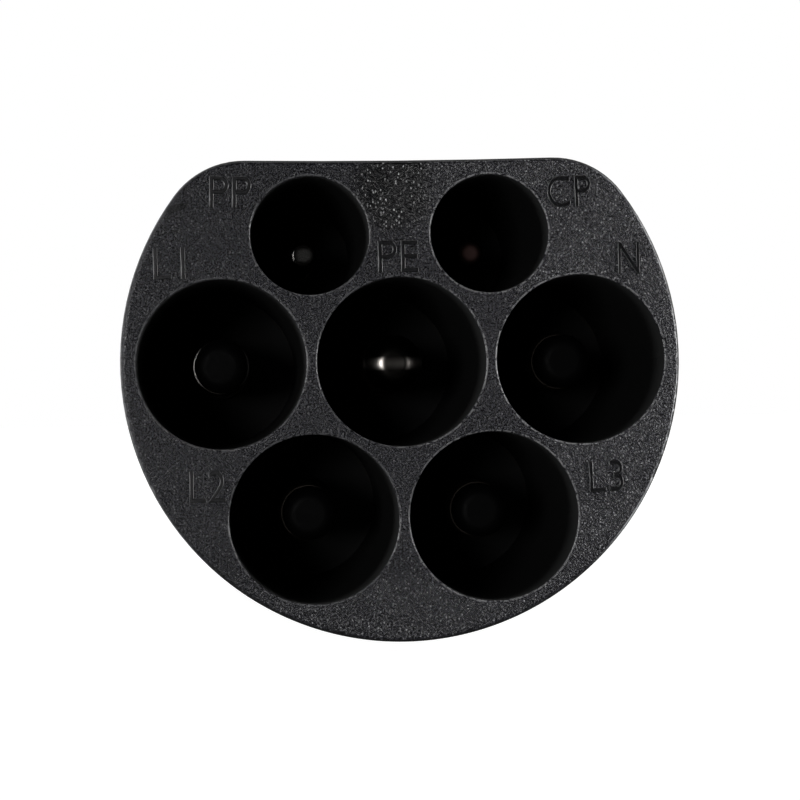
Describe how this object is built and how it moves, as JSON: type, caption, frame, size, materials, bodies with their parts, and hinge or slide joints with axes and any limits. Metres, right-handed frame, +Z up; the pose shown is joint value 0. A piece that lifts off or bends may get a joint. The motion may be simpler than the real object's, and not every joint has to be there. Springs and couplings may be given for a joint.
{
  "type": "ev charging plug",
  "caption": "Station-side plug of an electric-car charging cable: D-shaped face with deep round chambers round the pins, two-part handle and cable gland.",
  "frame": {"origin": "bottom centre of the plug, on the surface it lies on", "axes": "+X to the right seen from the face, +Y from the face to the cable gland, +Z up towards the flat side of the D"},
  "size_m": [0.059, 0.19, 0.051],
  "materials": {
    "moulded_nylon": "glass-filled, fine moulded grain, matt",
    "silvered_brass": "silver-plated, satin, turned",
    "tip_plastic": "smooth moulded",
    "seal_rubber": "smooth, matt",
    "plate_plastic": "moulded, matt",
    "screw_steel": "zinc-plated",
    "handle_plastic": "fine leather-like mould grain",
    "gland_plastic": "smooth moulded, satin",
    "ring_plastic": "moulded, satin",
    "resistor_coating": "lacquered"
  },
  "bodies": {
    "root": {"contact_insert": "moulded_nylon", "earth_pin": "silvered_brass", "line_1_pin": "silvered_brass", "line_2_pin": "silvered_brass", "line_3_pin": "silvered_brass", "neutral_pin": "silvered_brass", "proximity_pin": "silvered_brass", "pilot_pin": "silvered_brass", "line_1_tip": "tip_plastic", "line_2_tip": "tip_plastic", "line_3_tip": "tip_plastic", "neutral_tip": "tip_plastic", "power_pin_seals": "seal_rubber", "pilot_pin_seals": "seal_rubber", "face_seal": "seal_rubber", "gland_seal": "seal_rubber", "gland_gasket": "seal_rubber", "retainer_plate": "plate_plastic", "retainer_screws": "screw_steel", "handle_screws": "screw_steel", "handle_left": "handle_plastic", "handle_right": "handle_plastic", "gland_body": "gland_plastic", "gland_nut": "gland_plastic", "pressure_ring": "ring_plastic", "coding_resistor": "resistor_coating"}
  },
  "joints": []
}
